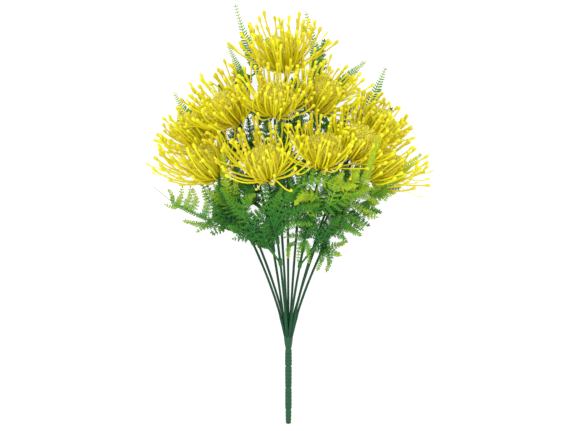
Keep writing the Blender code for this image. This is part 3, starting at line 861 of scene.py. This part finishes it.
def frond(bm, patterns, path, reach, tint_and_shade, bare, fine, dice):
    """A bent rib with leaves down both sides, longest low down and shortest at its tip."""
    layer = bm.verts.layers.float_color["mark"]
    length = path_length(path)
    thick = FINE_RIB if fine else 0.5 + 0.04 * max(reach)
    shortest = FINE_SHORTEST_LEAF if fine else SHORTEST_LEAF
    shares = [step / RIB_STEPS for step in range(RIB_STEPS + 1)]
    stations = [(on_path(path, t), path_heading(path, t), thick * (1.0 - 0.65 * t)) for t in shares]
    for ring, share in zip(rod(bm, stations, 6), shares):
        for vert in ring:
            vert[layer] = (tint_and_shade[0] + (tint_and_shade[1] - tint_and_shade[0]) * share + 0.1, 0.9, 1, 1)
    foot, tip = bare if isinstance(bare, tuple) else (bare, 0.0)
    part = 0.0
    while part < 1.0:
        t = foot + (1.0 - foot - tip) * part
        fall = min(1.0, 0.7 + part * 1.5) * (1.0 - 0.8 * max(0.0, part - 0.3) / 0.7)
        way = path_heading(path, t)
        side = UP.cross(way).normalized()
        over = way.cross(side)
        for hand, size in ((1, reach[0]), (-1, reach[1])):
            lean = (way * 0.5 + side * hand + over * dice.uniform(-0.05, 0.2)).normalized()
            span = max(shortest, size * FULLNESS * fall * dice.uniform(0.92, 1.06))
            shade = tint_and_shade[0] + (tint_and_shade[1] - tint_and_shade[0]) * part + dice.uniform(-0.04, 0.04)
            leaf(bm, patterns, on_path(path, t), lean, over, span, fine, shade, dice)
        step = FINE_STEP if fine else 0.46 * max(reach) * fall + 1.3
        part += step / (length * (1.0 - foot - tip))
    if not tip:
        leaf(bm, patterns, on_path(path, 0.99), path_heading(path, 0.97), UP, 2.4, fine, tint_and_shade[1], dice)


for number, name in enumerate(FERNS):
    stem_name, height, fronds = FERNS[name]
    dice = random.Random(500 + number)
    knots = stem_knots(stem_name)
    seat = along(knots, height)
    rise = heading(knots, height)
    fern_mesh = bmesh.new()
    layer = fern_mesh.verts.layers.float_color.new("mark")
    stations = [(seat + rise * SLEEVE_HALF * share, rise, radius) for share, radius in SLEEVE_OUTLINE]
    for ring in rod(fern_mesh, stations, SLEEVE_SIDES):
        for vert in ring:
            vert[layer] = (0.12, 0.5, 1, 1)
    patterns = [pattern_leaf(fern_mesh, pairs) for pairs in range(len(PAIRS_FROM) + 1)]
    main_path = None
    for start, points, reach, tint_and_shade, bare in fronds:
        points = [Vector(point) for point in points]
        if start is None:
            out = points[0] - seat
            out = (out - rise * out.dot(rise)).normalized()
            points = [seat + rise * 2.0 + out * 1.6] + points
        else:
            points = [on_path(main_path, start)] + points
        path = [above_ground(spot) for spot in smooth_path(points, 8)]
        main_path = main_path or path
        fine = start is None and name in FINE_SPRAYS
        frond(fern_mesh, patterns, path, reach, tint_and_shade, bare, fine, dice)
        if fine or max(reach) < UNDER_FROM:
            continue
        sway = Vector((dice.uniform(-6, 6), dice.uniform(0, 6), -UNDER_DROP))
        last = len(path) - 1
        path = [above_ground(spot + sway * min(1.0, 2.0 * step / last)) for step, spot in enumerate(path)]
        # The frond beneath gets a much darker tint: painted shade under the frond above it.
        shaded = (tint_and_shade[0] * 0.5 - 0.1, tint_and_shade[1] * 0.4 - 0.1)
        frond(fern_mesh, patterns, path, reach, shaded, bare, False, dice)
    for pattern in patterns:
        drop_pattern(fern_mesh, pattern)
    for vert in fern_mesh.verts:
        vert.co.z = max(vert.co.z, FERN_LOWEST)
    finish(fern_mesh, f"{name}_fern", [fern_plastic], "fern", f"fern_{name}")


# ---------------------------------------------------------------------------------------------------------
# Studio: a pale floor, one large soft lamp above and a bright even surround. The camera looks straight down.
floor_mesh = bmesh.new()
bmesh.ops.create_grid(floor_mesh, x_segments=1, y_segments=1, size=6.0)
floor_data = bpy.data.meshes.new("floor")
floor_mesh.to_mesh(floor_data)
floor_mesh.free()
floor = bpy.data.objects.new("floor", floor_data)
bpy.context.scene.collection.objects.link(floor)
floor_paint = bpy.data.materials.new("floor_paint")
floor_paint.use_nodes = True
paint = floor_paint.node_tree.nodes["Principled BSDF"]
paint.inputs["Base Color"].default_value = (0.35, 0.35, 0.35, 1)
paint.inputs["Roughness"].default_value = 0.9
paint.inputs["Emission Color"].default_value = (1, 1, 1, 1)
paint.inputs["Emission Strength"].default_value = 0.8
floor_data.materials.append(floor_paint)

lamp_data = bpy.data.lights.new("key", "AREA")
lamp_data.shape = "DISK"
lamp_data.size = 1.4
lamp_data.energy = 17.0
lamp = bpy.data.objects.new("key", lamp_data)
lamp.location = (-0.25, 0.35, 1.9)
lamp.rotation_euler = (-lamp.location).to_track_quat("-Z", "Y").to_euler()
bpy.context.scene.collection.objects.link(lamp)
world = bpy.data.worlds.new("surround")
world.use_nodes = True
world.node_tree.nodes["Background"].inputs["Color"].default_value = (1.0, 1.0, 1.0, 1)
world.node_tree.nodes["Background"].inputs["Strength"].default_value = 0.9
bpy.context.scene.world = world
bpy.context.scene.view_settings.view_transform = "Standard"

camera_data = bpy.data.cameras.new("camera")
camera_data.sensor_width = 36.0
camera_data.lens = 617.0
camera = bpy.data.objects.new("camera", camera_data)
camera.location = TO_FRAME @ Vector((-0.5, -0.5, 10000.0))
bpy.context.scene.collection.objects.link(camera)
bpy.context.scene.camera = camera
